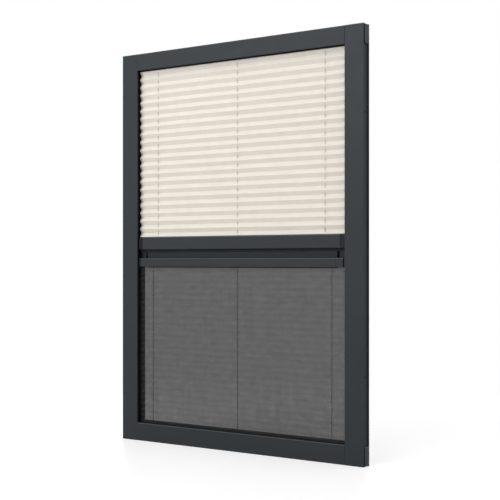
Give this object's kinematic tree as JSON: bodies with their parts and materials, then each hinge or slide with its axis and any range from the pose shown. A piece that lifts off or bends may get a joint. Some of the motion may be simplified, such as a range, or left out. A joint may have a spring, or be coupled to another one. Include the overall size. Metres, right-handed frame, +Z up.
{
  "type": "pleated insect screen",
  "caption": "Aluminium cassette frame holding a cream pleated blind above and a grey pleated insect screen below, each pulled by its own sliding bar.",
  "frame": {"origin": "middle of the frame's underside", "axes": "+X along the width, +Y from the room side to the window side, +Z up"},
  "size_m": [0.65, 0.0226, 0.9],
  "materials": {
    "anthracite_coat": "satin powder coat",
    "anthracite_plastic": "satin",
    "corner_plastic": "satin",
    "black_plastic": "matte",
    "zinc_steel": "satin",
    "brush_pile": "matte",
    "seal_rubber": "matte",
    "guide_plastic": "gloss",
    "cream_cloth": "matte",
    "grey_mesh": "matte",
    "cream_cord": "matte",
    "grey_cord": "matte"
  },
  "bodies": {
    "frame": {"left_stile": "anthracite_coat", "right_stile": "anthracite_coat", "top_rail": "anthracite_coat", "bottom_rail": "anthracite_coat", "corner_block_top_left": "black_plastic", "corner_block_top_right": "black_plastic", "corner_block_bottom_left": "black_plastic", "corner_block_bottom_right": "black_plastic", "corner_cap_top_left": "corner_plastic", "corner_cap_top_right": "corner_plastic", "corner_cap_bottom_left": "corner_plastic", "corner_cap_bottom_right": "corner_plastic", "stile_plug_top_left": "black_plastic", "stile_plug_top_right": "black_plastic", "stile_plug_bottom_left": "black_plastic", "stile_plug_bottom_right": "black_plastic", "corner_screws": "zinc_steel", "left_brush_seal": "brush_pile", "right_brush_seal": "brush_pile", "blind_head_strip": "black_plastic", "screen_foot_strip": "black_plastic", "blind_cord_anchors": "zinc_steel", "screen_cord_anchors": "zinc_steel", "blind_fabric": "cream_cloth", "screen_mesh": "grey_mesh", "blind_cord_left": "cream_cord", "blind_cord_middle": "cream_cord", "blind_cord_right": "cream_cord", "screen_cord_left": "grey_cord", "screen_cord_middle": "grey_cord", "screen_cord_right": "grey_cord"},
    "blind_bar": {"blind_bar": "anthracite_coat", "blind_bar_cap_left": "black_plastic", "blind_bar_cap_right": "black_plastic", "blind_bar_strip": "black_plastic", "blind_cord_guides": "guide_plastic", "meeting_seal": "seal_rubber"},
    "screen_bar": {"screen_bar": "anthracite_coat", "screen_bar_cap_left": "anthracite_plastic", "screen_bar_cap_right": "anthracite_plastic", "screen_bar_strip": "black_plastic", "screen_cord_guides": "guide_plastic"}
  },
  "joints": [
    {"name": "blind_slide", "type": "slide", "parent": "frame", "child": "blind_bar", "axis": [0, 0, 1], "range_m": [0, 0.36], "deforming": ["blind_fabric", "blind_cord_left", "blind_cord_middle", "blind_cord_right"]},
    {"name": "screen_slide", "type": "slide", "parent": "frame", "child": "screen_bar", "axis": [0, 0, 1], "range_m": [-0.339, 0], "deforming": ["screen_mesh", "screen_cord_left", "screen_cord_middle", "screen_cord_right"]}
  ]
}
